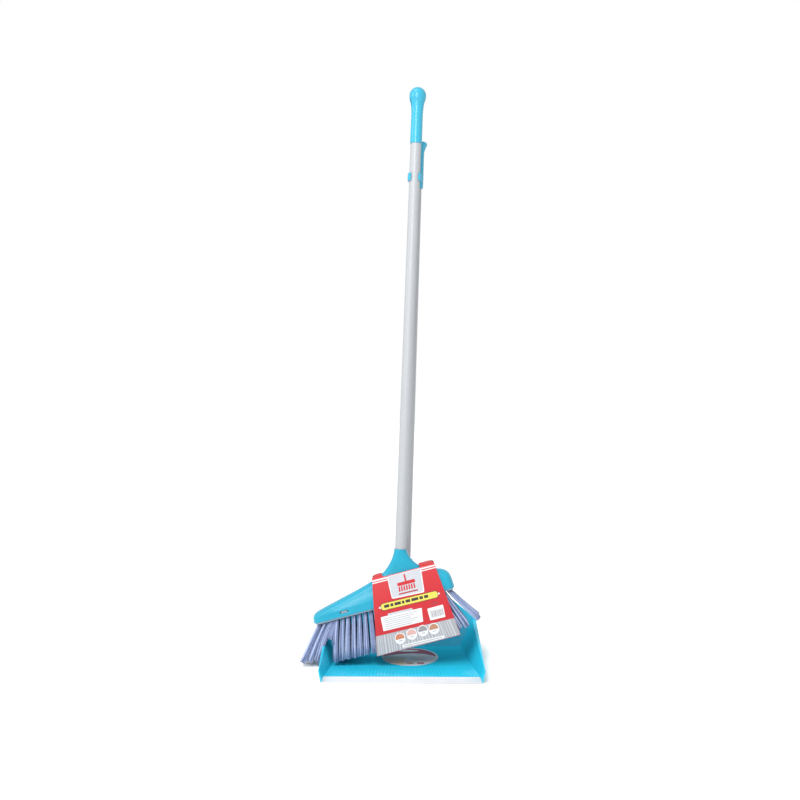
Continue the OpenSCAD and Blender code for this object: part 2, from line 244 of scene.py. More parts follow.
def between(tree, source, first, second):
    ramp = tree.nodes.new("ShaderNodeMix")
    ramp.data_type = "RGBA"
    ramp.inputs["A"].default_value = (*first, 1)
    ramp.inputs["B"].default_value = (*second, 1)
    tree.links.new(source, ramp.inputs["Factor"])
    return ramp.outputs["Result"]


def coloured(tree, shader, source, first, second):
    tree.links.new(between(tree, source, first, second), shader.inputs["Base Color"])


def glossed(tree, shader, source, low, high):
    tree.links.new(spread(tree, source, low, high), shader.inputs["Roughness"])


def bumped(tree, shader, source, depth):
    bump = tree.nodes.new("ShaderNodeBump")
    bump.inputs["Strength"].default_value = 1
    bump.inputs["Distance"].default_value = depth / 1000
    tree.links.new(source, bump.inputs["Height"])
    tree.links.new(bump.outputs["Normal"], shader.inputs["Normal"])


def mouldedPlastic(name, colour, rough=0.2, ripple=0.0015, rippleSize=26, glow=0.0, mottle=0.04):
    # glossy moulding: faint flow marks, a slight ripple and uneven gloss
    finish, tree, shader = newFinish(name)
    deeper = tuple(c * (1 - mottle) for c in colour)
    lighter = tuple(min(1, c * (1 + mottle)) for c in colour)
    tone = spread(tree, grain(tree, 60, 2), 0, 1)
    coloured(tree, shader, tone, deeper, lighter)
    glossed(tree, shader, grain(tree, 14, 4), rough - 0.04, rough + 0.06)
    bumped(tree, shader, grain(tree, rippleSize, 2), ripple)
    shader.inputs["IOR"].default_value = 1.46
    shader.inputs["Specular IOR Level"].default_value = 0.28
    shader.inputs["Subsurface Weight"].default_value = glow
    shader.inputs["Subsurface Radius"].default_value = (0.002, 0.004, 0.006)
    shader.inputs["Coat Weight"].default_value = 0.12
    shader.inputs["Coat Roughness"].default_value = 0.1
    return finish


def paintedTube(name, colour):
    # powder-grey film on steel tube: fine orange peel, faint lengthways rub marks
    finish, tree, shader = newFinish(name)
    tone = spread(tree, grain(tree, 4, 3, (1, 1, 0.02)), 0, 1)
    coloured(tree, shader, tone, tuple(c * 0.96 for c in colour), colour)
    glossed(tree, shader, grain(tree, 3, 3, (1, 1, 0.03)), 0.40, 0.52)
    bumped(tree, shader, grain(tree, 1.6, 2), 0.003)
    shader.inputs["Coat Weight"].default_value = 0.12
    shader.inputs["Coat Roughness"].default_value = 0.2
    return finish


def softPlastic(name, colour):
    # pale flexible strip, slightly see-through, with a dull skin
    finish, tree, shader = newFinish(name)
    tone = spread(tree, grain(tree, 25, 3), 0, 1)
    coloured(tree, shader, tone, tuple(c * 0.94 for c in colour), colour)
    glossed(tree, shader, grain(tree, 6, 3), 0.38, 0.5)
    bumped(tree, shader, grain(tree, 0.9, 2), 0.02)
    shader.inputs["Subsurface Weight"].default_value = 0.3
    shader.inputs["Subsurface Radius"].default_value = (0.004, 0.004, 0.004)
    return finish


def mattPlastic(name, colour, rough=0.55):
    finish, tree, shader = newFinish(name)
    tone = spread(tree, grain(tree, 18, 3), 0, 1)
    coloured(tree, shader, tone, tuple(c * 0.9 for c in colour), colour)
    glossed(tree, shader, grain(tree, 5, 3), rough - 0.06, rough + 0.08)
    bumped(tree, shader, grain(tree, 0.7, 2), 0.03)
    return finish


def filament(name, root, tip):
    # drawn plastic bristle: deeper at the root, milky towards the split tip; each strand's random tone runs
    # from dull to a painted glint
    finish, tree, shader = newFinish(name)
    along = tree.nodes.new("ShaderNodeAttribute")
    along.attribute_name = "along"
    toneAndGlint = tree.nodes.new("ShaderNodeAttribute")
    toneAndGlint.attribute_name = "toneAndGlint"
    ramped = between(tree, along.outputs["Fac"], root, tip)
    vary = tree.nodes.new("ShaderNodeMix")
    vary.data_type = "RGBA"
    vary.blend_type = "MULTIPLY"
    vary.inputs["Factor"].default_value = 1
    tree.links.new(ramped, vary.inputs["A"])
    # the bright end is painted light: the few strands near it show painted glints, several times brighter
    # than their plastic
    dull, paintedGlint = (0.70, 0.72, 0.78), (2.30, 2.20, 1.80)
    tree.links.new(between(tree, toneAndGlint.outputs["Fac"], dull, paintedGlint), vary.inputs["B"])
    tree.links.new(vary.outputs["Result"], shader.inputs["Base Color"])
    glossed(tree, shader, grain(tree, 5, 2), 0.22, 0.36)
    shader.inputs["Subsurface Weight"].default_value = 0.15
    shader.inputs["Subsurface Radius"].default_value = (0.003, 0.003, 0.004)
    return finish


def printedCard(name, colour, rough=0.33):
    # coated card: paper tooth under a thin varnish
    finish, tree, shader = newFinish(name)
    tone = spread(tree, grain(tree, 9, 4), 0, 1)
    coloured(tree, shader, tone, tuple(c * 0.95 for c in colour), colour)
    glossed(tree, shader, grain(tree, 3, 3), rough - 0.05, rough + 0.07)
    bumped(tree, shader, grain(tree, 0.35, 3), 0.012)
    shader.inputs["Coat Weight"].default_value = 0.15
    return finish


def drawnWire(name):
    finish, tree, shader = newFinish(name)
    tone = spread(tree, grain(tree, 1, 3), 0, 1)
    coloured(tree, shader, tone, (0.45, 0.45, 0.46), (0.66, 0.66, 0.68))
    glossed(tree, shader, grain(tree, 0.5, 3), 0.25, 0.4)
    shader.inputs["Metallic"].default_value = 1
    return finish


colours = {
    "moulding": (0.014, 0.285, 0.415),
    # the broom's blue plastic again, painted lighter for the pan: painted light that stands in for light the
    # pan's inside does not get
    "panMouldingPaintedLight": (0.019, 0.450, 0.640),
    "grip": (0.040, 0.330, 0.470),
    "tube": (0.350, 0.365, 0.385),
    "lip": (0.560, 0.580, 0.610),
    "block": (0.300, 0.340, 0.400),
    "insert": (0.050, 0.052, 0.055),
    "bristleRoot": (0.140, 0.185, 0.340),
    "bristleTip": (0.250, 0.300, 0.490),
    "red": (0.450, 0.007, 0.014),
    "white": (0.640, 0.640, 0.650),
    "paleGrey": (0.440, 0.455, 0.490),
    "yellow": (0.600, 0.520, 0.070),
    "ink": (0.020, 0.018, 0.018),
    "darkRed": (0.330, 0.020, 0.030),
    "beige": (0.700, 0.560, 0.380),
    "greyBand": (0.300, 0.300, 0.315),
    "orange": (0.460, 0.160, 0.080),
    "pink": (0.540, 0.320, 0.290),
    "stone": (0.230, 0.230, 0.240),
    "brown": (0.380, 0.180, 0.100),
}
finishes = {
    "moulding": mouldedPlastic("moulding", colours["moulding"], glow=0.08),
    "panMouldingPaintedLight": mouldedPlastic("panMouldingPaintedLight", colours["panMouldingPaintedLight"], glow=0.08),
    "grip": mouldedPlastic("gripMoulding", colours["grip"], rough=0.24, glow=0.04),
    "tube": paintedTube("paintedTube", colours["tube"]),
    "lip": softPlastic("softLip", colours["lip"]),
    "block": mattPlastic("tuftBlock", colours["block"]),
    "insert": mattPlastic("threadInsert", colours["insert"], 0.45),
    "bristle": filament("bristle", colours["bristleRoot"], colours["bristleTip"]),
    "wire": drawnWire("stapleWire"),
}
for printName in ("red", "white", "paleGrey", "yellow", "ink", "darkRed", "beige", "greyBand",
                  "orange", "pink", "stone", "brown"):
    finishes[printName] = printedCard("print_" + printName, colours[printName])


def wear(piece, *names):
    piece.data.materials.clear()
    for name in names:
        piece.data.materials.append(finishes[name])
    return piece


def stands(piece, body, slot, *nodes):
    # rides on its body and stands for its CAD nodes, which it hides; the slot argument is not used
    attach(piece, body)
    if nodes:
        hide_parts(*nodes)
    return piece


# camera, light and floor

view = {"place": (-0.0047, -1.686, 0.5), "roll": 0.22, "lens": 45, "sensor": 36, "shiftUp": -0.0406}


def setCamera():
    bpy.ops.object.camera_add(location=view["place"])
    camera = bpy.context.object
    aim = Matrix.Rotation(math.radians(90), 4, "X")
    camera.matrix_world = (Matrix.Translation(view["place"]) @ aim
                           @ Matrix.Rotation(math.radians(view["roll"]), 4, "Z"))
    camera.data.lens = view["lens"]
    camera.data.sensor_width = view["sensor"]
    camera.data.shift_y = view["shiftUp"]
    bpy.context.scene.camera = camera


light = {
    "sun": {"aimFrom": (-0.75, -0.75, 1.9), "power": 1.35, "soft": 35},
    "strip": {"place": (-0.42, -1.6, 0.8), "aim": (0, 0, 0.5), "wide": 0.09, "tall": 0.5, "power": 2.5},
    "side": {"place": (-1.5, -0.7, 0.6), "aim": (0, 0, 0.45), "wide": 0.2, "tall": 1.3, "power": 1.5},
    "upper": {"place": (-1.5, -0.35, 1.5), "aim": (0, 0, 0.2), "wide": 0.3, "tall": 0.3, "power": 2.5},
    "front": {"place": (-0.28, -0.95, 1.2), "aim": (0.03, 0, 0.05), "wide": 0.4, "tall": 0.6, "power": 10},
    "room": 0.85,
}


def setLight():
    calm()
    bpy.ops.object.light_add(type="SUN")
    sun = bpy.context.object
    sun.data.energy = light["sun"]["power"]
    sun.data.angle = math.radians(light["sun"]["soft"])
    sun.rotation_euler = (-Vector(light["sun"]["aimFrom"])).to_track_quat("-Z", "Y").to_euler()
    for name in ("strip", "side", "upper", "front"):
        lamp = light[name]
        bpy.ops.object.light_add(type="AREA", location=lamp["place"])
        softBox = bpy.context.object
        softBox.name = name
        softBox.data.shape = "RECTANGLE"
        softBox.data.size = lamp["wide"]
        softBox.data.size_y = lamp["tall"]
        softBox.data.energy = lamp["power"]
        way = Vector(lamp["aim"]) - Vector(lamp["place"])
        softBox.rotation_euler = way.to_track_quat("-Z", "Y").to_euler()
    world = bpy.data.worlds.new("paleRoom")
    bpy.context.scene.world = world
    world.use_nodes = True
    tree = world.node_tree
    seen = tree.nodes.new("ShaderNodeLightPath")
    level = tree.nodes.new("ShaderNodeMapRange")
    level.inputs["To Min"].default_value = light["room"]
    level.inputs["To Max"].default_value = 1.0
    tree.links.new(seen.outputs["Is Camera Ray"], level.inputs["Value"])
    tree.links.new(level.outputs["Result"], tree.nodes["Background"].inputs["Strength"])
    tree.nodes["Background"].inputs["Color"].default_value = (1, 1, 1, 1)


def setFloor():
    calm()
    bpy.ops.mesh.primitive_plane_add(size=14, location=(0, 0, -0.0004))
    floor = named("floor")
    finish, _, shader = newFinish("paleFloor")
    shader.inputs["Base Color"].default_value = (0.95, 0.95, 0.95, 1)
    shader.inputs["Roughness"].default_value = 0.9
    shader.inputs["Specular IOR Level"].default_value = 0.1
    floor.data.materials.append(finish)


setCamera()
setLight()
setFloor()
print("camera, light and floor ready")

# broom head: a hollow shell drawn from the front, u along its base and v up

headShape = {
    "thick": 20, "edgeRound": 8.6, "roundSteps": 9, "wall": 2.4, "recess": 11,
    "taperFrom": 6, "taperTo": 58, "taperStep": 7, "neckThick": 10.9, "over": 22,
    "left": -148.5, "right": 98.4, "socketWall": 1.2, "socketDeep": 7, "socketAbove": 78,
    "leftRoof": [(-148.5, 3), (-146.5, 10.5), (-141, 15.2), (-129.5, 19), (-97, 27), (-66, 34.4),
                 (-38.5, 42), (-18, 49.8), (-4.6, 59.2), (5.8, 70.5), (12.1, 80.9)],
    "rightRoof": [(34.5, 76.2), (37.3, 65.2), (42.1, 56.8), (49.5, 48.6), (60, 42), (74.4, 37),
                  (86, 33.2), (94.2, 25.8), (97.3, 16), (98.4, 3)],
    "window": (-100, -85.5, 5.4, 9.4),
}


def makeHead():
    s = headShape
    tilt = math.radians(tube["baseTilt"])

    def onNeck(x, z):   # a point of the neck, from the pole's space to the base's
        return (x * math.cos(tilt) + (z + tube["headDrop"]) * math.sin(tilt),
                -x * math.sin(tilt) + (z + tube["headDrop"]) * math.cos(tilt))

    neckLeft = [onNeck(-s["neckThick"], 0), onNeck(-s["neckThick"], s["over"])]
    neckRight = [onNeck(s["neckThick"], s["over"]), onNeck(s["neckThick"], 0)]
    left = curveThrough(s["leftRoof"] + [neckLeft[0]], 3)
    right = curveThrough([neckRight[1]] + s["rightRoof"], 3)
    outline = ([(s["left"], -s["over"])] + left + [neckLeft[1], neckRight[0]]
               + right + [(s["right"], -s["over"])])
    calm()
    bpy.ops.mesh.primitive_circle_add(vertices=len(outline), radius=50, fill_type="NGON")
    head = named("broomHead")
    # the circle's corners run round it once, so the outline is laid over them in turn
    for corner, (u, v) in zip(head.data.vertices, outline):
        corner.co = (u, v, 0)
    edit(head)
    bpy.ops.mesh.select_all(action="SELECT")
    bpy.ops.mesh.normals_make_consistent(inside=False)
    done, height = 0, 0
    for k in range(1, s["roundSteps"] + 1):
        a = math.radians(90 * k / s["roundSteps"])
        inward, up = s["edgeRound"] * (1 - math.cos(a)), s["thick"] * math.sin(a)
        bpy.ops.mesh.inset(thickness=inward - done, depth=0, use_even_offset=True)
        bpy.ops.transform.translate(value=(0, 0, up - height))
        done, height = inward, up
    for v in range(s["taperFrom"], s["taperTo"], s["taperStep"]):
        bpy.ops.mesh.select_all(action="SELECT")
        bpy.ops.mesh.bisect(plane_co=(0, v, 0), plane_no=(0, 1, 0))
    bpy.ops.object.mode_set(mode="OBJECT")
    for corner in head.data.vertices:
        # thinner towards the neck
        t = (corner.co.y - s["taperFrom"]) / (s["taperTo"] - s["taperFrom"])
        t = min(max(t, 0), 1)
        ease = t * t * (3 - 2 * t)
        corner.co.z *= 1 + (s["neckThick"] / s["thick"] - 1) * ease
    finishWith(head, "MIRROR", use_axis=(False, False, True), merge_threshold=0.01)
    tidyMesh(head)
    edit(head)
    bpy.ops.mesh.select_all(action="SELECT")
    bpy.ops.mesh.bisect(plane_co=(0, 0, 0), plane_no=(0, 1, 0), clear_inner=True, use_fill=True)
    bpy.ops.mesh.select_all(action="SELECT")
    bpy.ops.mesh.bisect(plane_co=(*onNeck(0, 0), 0), plane_no=(math.sin(tilt), math.cos(tilt), 0),
                        clear_outer=True, use_fill=True)
    # the hollow that the tuft block is pushed into
    pick(head, lambda middle, normal: middle.y < 0.01 and normal.y < -0.9)
    bpy.ops.mesh.inset(thickness=s["wall"], depth=0, use_even_offset=True)
    bpy.ops.mesh.extrude_region_move(TRANSFORM_OT_translate={"value": (0, s["recess"], 0)})
    # the socket that the tube is pushed into
    pick(head, lambda middle, normal: normal.y > 0.9 and middle.y > s["socketAbove"])
    bpy.ops.mesh.inset(thickness=s["socketWall"], depth=0, use_even_offset=True)
    down = (-s["socketDeep"] * math.sin(tilt), -s["socketDeep"] * math.cos(tilt), 0)
    bpy.ops.mesh.extrude_region_move(TRANSFORM_OT_translate={"value": down})
    bpy.ops.object.mode_set(mode="OBJECT")
    # the window for the block's snap tab
    uLow, uHigh, vLow, vHigh = s["window"]
    bpy.ops.mesh.primitive_cube_add(size=1, location=((uLow + uHigh) / 2, (vLow + vHigh) / 2, 18),
                                    scale=(uHigh - uLow, vHigh - vLow, 12))
    slot = named("slotTool")
    focus(slot)
    bpy.ops.object.transform_apply(location=True, rotation=True, scale=True)
    finishWith(slot, "BEVEL", width=1.6, segments=3)
    combine(head, slot)
    finishWith(head, "BEVEL", width=0.5, segments=2, limit_method="ANGLE", angle_limit=math.radians(50))
    smooth(head, 40)
    settle(head, baseSpace @ uprightSheet)
    wear(head, "moulding")
    stands(head, "broom", "blue_plastic", "broom_head")


makeHead()
print("head ready")

# broom grip: (height, radius) up the tube, with a round end

gripShape = {
    "profile": [(0, 10.6), (30, 10.4), (55, 10.4), (66, 11.1), (73, 12.1), (77, 13.3),
                (81.5, 14.5), (87.2, 14.8)],
    "length": 102, "bulb": 14.8, "bore": 60, "boreRadius": 9.55,
    "holeMid": 74.2, "holeWide": 7, "holeLong": 14, "holeTurn": 14,
}


def makeGrip():
    s = gripShape
    body = curveThrough(s["profile"], 5)
    widest = s["profile"][-1][0]
    dome = [(widest + s["bulb"] * math.sin(math.radians(a)), s["bulb"] * math.cos(math.radians(a)))
            for a in range(9, 90, 9)]
    rim = [(s["bore"], s["boreRadius"]), (0.6, s["boreRadius"]), (0, 9.9), (0.1, 10.3)]
    grip = drawnUp("broomGrip", rim + body[1:] + dome)
    # the hanging hole, a long one through both sides of the round end
    bpy.ops.mesh.primitive_cylinder_add(vertices=40, radius=s["holeWide"] / 2, depth=60,
                                        rotation=(0, math.pi / 2, 0))
    hole = named("holeTool")
    focus(hole)
    bpy.ops.object.transform_apply(location=True, rotation=True, scale=True)
    stretch = (s["holeLong"] - s["holeWide"]) / 2
    edit(hole)
    for way in (-1, 1):
        pick(hole, lambda place: place.z * way > 0.1, "VERT")
        bpy.ops.transform.translate(value=(0, 0, way * stretch))
    bpy.ops.mesh.select_all(action="SELECT")
    bpy.ops.transform.rotate(value=-math.radians(s["holeTurn"]), orient_axis="Z", center_override=(0, 0, 0))
    bpy.ops.transform.translate(value=(0, 0, s["holeMid"]))
    bpy.ops.object.mode_set(mode="OBJECT")
    combine(grip, hole)
    finishWith(grip, "BEVEL", width=0.8, segments=3, limit_method="ANGLE", angle_limit=math.radians(42))
    smooth(grip, 42)
    settle(grip, broomSpace @ Matrix.Translation((0, 0, gripFoot)))
    wear(grip, "grip")
    stands(grip, "broom", "grip_plastic", "broom_grip")


def alongBroom(point):
    return (broomSpace.inverted() @ point).z


gripLow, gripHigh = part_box("broom_grip")
gripMiddleTop = Vector(((gripLow.x + gripHigh.x) / 2, (gripLow.y + gripHigh.y) / 2, gripHigh.z))
gripFoot = alongBroom(gripMiddleTop) - gripShape["length"]
makeGrip()
print("broom grip ready")

# poles


def makePole(name, node, body, space, foot):
    low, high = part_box(node)
    r = tube["radius"]
    long = ((Vector(high) - Vector(low)) * 1000 - Vector((2 * r, 2 * r, 0))).length
    bore, edge, top = r - tube["wall"], tube["edge"], foot + long
    rings = [(foot, bore), (foot, r - edge), (foot + edge, r), (foot + long / 3, r), (foot + long * 2 / 3, r),
             (top - edge, r), (top, r - edge), (top, bore), (foot, bore)]
    pole = drawnUp(name, rings, 96, False, False)
    smooth(pole, 40)
    settle(pole, space)
    wear(pole, "tube")
    stands(pole, body, "painted_tube", node)


makePole("panTube", "pan_pole", "pan", panPoleSpace, 0)
makePole("broomTube", "broom_pole", "broom", broomSpace, -tube["seat"])
print("poles ready")

# the grip on the pan's pole, and its clip

panGripShape = {
    "long": 83, "low": 12, "waist": 12.3, "flare": 15.2, "cap": 3, "ribs": 6, "ribDeep": 0.35,
    "bossWide": 9, "bossTall": 17, "ringFrom": 14, "ringGap": 8, "ringHalf": 1.4, "toTheRight": 2.2,
}
clipShape = {"tall": 14, "inner": 9.8, "outer": 12.45, "mouth": 38, "steps": 44, "stemAcross": 1.9}


def boxTool(name, middle, size):
    calm()
    bpy.ops.mesh.primitive_cube_add(size=1, location=middle, scale=size)
    piece = named(name)
    focus(piece)
    bpy.ops.object.transform_apply(location=True, rotation=True, scale=True)
    return piece


def panPoleTop():
    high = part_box("pan_pole")[1]
    r = tube["radius"] / 1000
    return (panPoleSpace.inverted() @ Vector((high.x - r, high.y - r, high.z))).z


def makePanGrip():
    s = panGripShape
    top = panPoleTop() + s["cap"] + 0.1
    foot = top - s["long"]
    skin = [(foot, s["low"] - 1.4), (foot + 0.4, s["low"] - 0.5), (foot + 1.6, s["low"])]
    for k in range(s["ribs"]):
        # shallow finger rings up the sleeve
        at, out = foot + s["ringFrom"] + k * s["ringGap"], s["low"] + 0.3
        skin += [(at - s["ringHalf"], out), (at, out - s["ribDeep"]), (at + s["ringHalf"], out)]
    skin += [(foot + 61, s["waist"]), (foot + 66, s["waist"] + 0.3), (foot + 71, s["waist"] + 1.3),
             (foot + 76, s["flare"] - 0.9), (foot + 79, s["flare"]), (foot + 81, s["flare"] - 0.4),
             (foot + 82.4, s["flare"] - 1.6), (top, s["flare"] - 3.4)]
    bore = [(top - s["cap"], 9.6), (foot, 9.6)]
    sleeve = drawnUp("panGrip", bore + skin, 72)
    for corner in sleeve.data.vertices:
        # the flared top is set a little off to the right
        t = min(max((corner.co.z - foot - 66) / 10, 0), 1)
        if math.hypot(corner.co.x, corner.co.y) > 10:
            corner.co.x += s["toTheRight"] * t * t
    # the boss that carries the clip stands out towards the front
    low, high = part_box("pan_clip")
    place = panPoleSpace.inverted() @ Vector(((low.x + high.x) / 2, high.y, (low.z + high.z) / 2))
    reach = -place.y + 4
    near = 9.7
    boss = boxTool("bossTool", (clipShape["stemAcross"], -near - (reach - near) / 2 + 2, place.z),
                   (s["bossWide"], reach - 7, s["bossTall"]))
    finishWith(boss, "BEVEL", width=1.2, segments=3)
    combine(sleeve, boss, "UNION")
    finishWith(sleeve, "BEVEL", width=0.5, segments=2, limit_method="ANGLE", angle_limit=math.radians(45))
    smooth(sleeve, 40)
    settle(sleeve, panPoleSpace)
    wear(sleeve, "grip")
    stands(sleeve, "pan", "grip_plastic", "pan_grip")


def makeClip():
    s = clipShape
    calm()
    wide, half = s["outer"] - s["inner"], s["tall"] / 2
    # a rounded strip's end, spun round the broom's tube
    bpy.ops.mesh.primitive_circle_add(vertices=16, radius=1, fill_type="NGON", rotation=(math.pi / 2, 0, 0))
    clip = named("poleClip")
    focus(clip)
    bpy.ops.object.transform_apply(location=True, rotation=True, scale=True)
    for corner in clip.data.vertices:
        x, z = corner.co.x, corner.co.z
        # a squarish oval
        corner.co.x = math.copysign(abs(x) ** 0.55, x) * wide / 2 + (s["inner"] + s["outer"]) / 2
        corner.co.z = math.copysign(abs(z) ** 0.4, z) * half
    # turned to one side of the mouth, then spun round the back to the other
    edit(clip)
    bpy.ops.mesh.select_all(action="SELECT")
    bpy.ops.transform.rotate(value=math.radians(90 - s["mouth"]), orient_axis="Z", center_override=(0, 0, 0))
    bpy.ops.mesh.spin(steps=s["steps"], angle=math.radians(360 - 2 * s["mouth"]),
                      center=(0, 0, 0), axis=(0, 0, -1))
    bpy.ops.object.mode_set(mode="OBJECT")
    return clip


def finishClip(clip):
    tidyMesh(clip)
    finishWith(clip, "BEVEL", width=0.9, segments=3, limit_method="ANGLE", angle_limit=math.radians(60))
    low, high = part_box("pan_clip")
    back = broomSpace.inverted() @ Vector(((low.x + high.x) / 2, high.y, (low.z + high.z) / 2))
    stem = boxTool("stemTool", (clipShape["stemAcross"], (back.y + 12) / 2 - 0.4, 0), (9, back.y - 11, 13))
    finishWith(stem, "BEVEL", width=0.8, segments=2)
    for part in (clip, stem):
        edit(part)
        bpy.ops.mesh.select_all(action="SELECT")
        bpy.ops.transform.translate(value=(0, 0, back.z))
    piece = joined([clip, stem], "poleClip")
    smooth(piece, 40)
    settle(piece, broomSpace)
    wear(piece, "grip")
    stands(piece, "pan", "grip_plastic", "pan_clip")


makePanGrip()
finishClip(makeClip())
print("pan grip and clip ready")

# pan: floor, ramp, side walls and a back wall drawn up to the socket of its pole

panShape = {
    "frontHalf": 127, "backHalf": 104, "front": -103.5, "back": 103.5, "floor": 2.2, "wall": 2.2,
    "sideFront": 21, "sideBack": 50, "flareFront": 4, "flareBack": 22, "rimFront": 1.2, "rimBack": 7,
    "rampFrom": -19.5, "crest": -87.5, "crestUp": 6.2, "peak": 154, "neckAt": 146, "neckHalf": 16,
    "ribs": 44, "ribWide": 1.3, "ribUp": 0.3, "ribNear": 123.5, "ribFar": 114, "floorStep": 24.6,
    "rimDeep": 3.2, "socket": 13.1, "socketLong": 62, "cone": 26, "boreDeep": 26,
}


def frontToBack(first, last, y):
    # what goes evenly from a value at the pan's front to one at its back
    s = panShape
    return first + (last - first) * (y - s["front"]) / (s["back"] - s["front"])


def floorHalf(y):
    return frontToBack(panShape["frontHalf"], panShape["backHalf"], y)


def sideTop(y):
    # the side wall's top: how far out, how high, and how far its rim turns out
    s = panShape
    return (floorHalf(y) + frontToBack(s["flareFront"], s["flareBack"], y),
            frontToBack(s["sideFront"], s["sideBack"], y),
            frontToBack(s["rimFront"], s["rimBack"], y))


def makePan():
    s = panShape
    calm()
    bpy.ops.mesh.primitive_plane_add(size=2, location=(0, 0, 0))
    pan = named("panShell")
    for corner in pan.data.vertices:
        ahead = corner.co.y < 0
        corner.co.x = math.copysign(s["frontHalf"] if ahead else s["backHalf"], corner.co.x)
        corner.co.y = s["front"] if ahead else s["back"]
        corner.co.z = s["floor"]
    edit(pan)
    for y in [s["crest"], s["rampFrom"]] + [s["rampFrom"] + s["floorStep"] * k for k in range(1, 5)]:
        bpy.ops.mesh.select_all(action="SELECT")
        bpy.ops.mesh.bisect(plane_co=(0, y, 0), plane_no=(0, 1, 0))
    # side and back walls rise from the floor's outer edges together; a corner lifted by 1000 or
    # 2000 is marked as wall top or rim, and comes down again once both are drawn
    pick(pan, lambda middle, way: middle.y > s["back"] - 0.01
         or abs(middle.x) > floorHalf(middle.y) - 0.01, "EDGE")
    bpy.ops.mesh.extrude_edges_move(TRANSFORM_OT_translate={"value": (0, 0, 100)})
    bpy.ops.object.mode_set(mode="OBJECT")
    for corner in pan.data.vertices:
        if corner.co.z > 50:
            wide, high, _ = sideTop(corner.co.y)
            corner.co.x = math.copysign(wide, corner.co.x)
            corner.co.z = high + 1000
    # the rim turns out from the tops of the side walls
    edit(pan)
    pick(pan, lambda middle, way: middle.z > 900 and abs(way.x) < 0.8, "EDGE")
    bpy.ops.mesh.extrude_edges_move(TRANSFORM_OT_translate={"value": (0, 0, 1000)})
    bpy.ops.object.mode_set(mode="OBJECT")
    for corner in pan.data.vertices:
        if corner.co.z > 1900:
            wide, _, rim = sideTop(corner.co.y)
            corner.co.x = math.copysign(wide + rim, corner.co.x)
            corner.co.z -= 1000
    for corner in pan.data.vertices:
        if corner.co.z > 900:
            corner.co.z -= 1000
    # the back wall goes on up to the pole's socket
    edit(pan)
    pick(pan, lambda middle, way: middle.y > s["back"] - 0.01 and middle.z > 40 and abs(way.x) > 0.9, "EDGE")
    bpy.ops.mesh.extrude_edges_move(TRANSFORM_OT_translate={"value": (0, 0, s["neckAt"] - s["sideBack"])})
    bpy.ops.object.mode_set(mode="OBJECT")
    rimReach = sideTop(s["back"])[0] + s["rimBack"]
    for corner in pan.data.vertices:
        if corner.co.z > 100:
            corner.co.x *= s["neckHalf"] / (rimReach if abs(corner.co.x) > 130 else sideTop(s["back"])[0])
    edit(pan)
    pick(pan, lambda middle, way: middle.z > s["neckAt"] - 0.01, "EDGE")
    bpy.ops.mesh.extrude_edges_move(TRANSFORM_OT_translate={"value": (0, 0, s["peak"] - s["neckAt"])})
    # the floor's front is cut away for the soft lip, and its ramp lifted
    pick(pan, lambda middle, normal: middle.y < s["crest"] and abs(normal.z) > 0.95 and middle.z < 3)
    bpy.ops.mesh.delete(type="FACE")
    pick(pan, lambda place: abs(place.y - s["crest"]) < 0.01 and place.z < 3 and abs(place.x) < 130, "VERT")
    bpy.ops.transform.translate(value=(0, 0, s["crestUp"] - s["floor"]))
    # the back wall's sloping edges turn back in a stiffening rim
    pick(pan, lambda middle, way: middle.y > s["back"] - 0.01 and middle.z > 60 and abs(way.z) > 0.3
         and abs(middle.x) > s["neckHalf"] - 1 and abs(abs(middle.x) - outlineAt(middle.z)) < 2, "EDGE")
    bpy.ops.mesh.extrude_edges_move(TRANSFORM_OT_translate={"value": (0, s["rimDeep"], 0)})
    bpy.ops.object.mode_set(mode="OBJECT")
    tidyMesh(pan)
    finishWith(pan, "SOLIDIFY", thickness=s["wall"], offset=-1, use_even_offset=True)
    return pan


def outlineAt(z):
    # half width of the back wall at a height
    s = panShape
    reach = sideTop(s["back"])[0] + s["rimBack"]
    t = min(max((z - s["sideBack"]) / (s["neckAt"] - s["sideBack"]), 0), 1)
    return reach + (s["neckHalf"] - reach) * t


def finishPan(pan):
    s = panShape
    finishWith(pan, "BEVEL", width=0.8, segments=3, limit_method="ANGLE", angle_limit=math.radians(28))
    smooth(pan, 35)
    settle(pan, metres)
    # the socket with its pointed root, hollow at the top
    seat = tube["seat"]
    root = seat - s["socketLong"]
    r = s["socket"]
    rings = [(-s["boreDeep"], 8.5), (0, 8.5), (0, 9.7), (seat - 0.6, 9.7), (seat, 10.4), (seat, r - 1),
             (seat - 0.4, r - 0.3), (seat - 1.2, r), (root, r), (root - 6, r - 1.6), (root - s["cone"], 3)]
    socket = drawnUp("poleSocket", rings, 64)
    smooth(socket, 35)
    settle(socket, panPoleSpace)
    # ribs along the ramp, from the step to the lip
    ribs = []
    count = s["ribs"]
    for k in range(count):
        across = -1 + 2 * (k + 0.5) / count
        near = Vector((across * s["ribNear"], s["crest"] + 1, s["crestUp"]))
        far = Vector((across * s["ribFar"], s["rampFrom"], s["floor"]))
        turn = (far - near).to_track_quat("Y", "Z").to_matrix().to_4x4()
        rib = boxTool("rampRib", (0, 0, 0), (s["ribWide"], (far - near).length, s["ribUp"] * 2))
        rib.matrix_world = Matrix.Translation((near + far) / 2) @ turn
        ribs.append(rib)
    step = boxTool("rampStep", (0, s["rampFrom"] - 0.6, s["floor"]), (231, 1.6, 1.5))
    ribs = joined(ribs + [step], "rampRibs")
    settle(ribs, metres)
    pan = joined([pan, socket, ribs], "panShell")
    # the pan wears the lighter copy of the blue plastic, with painted light in its colour
    wear(pan, "panMouldingPaintedLight")
    stands(pan, "pan", "blue_plastic", "pan")


finishPan(makePan())
print("pan shell ready")

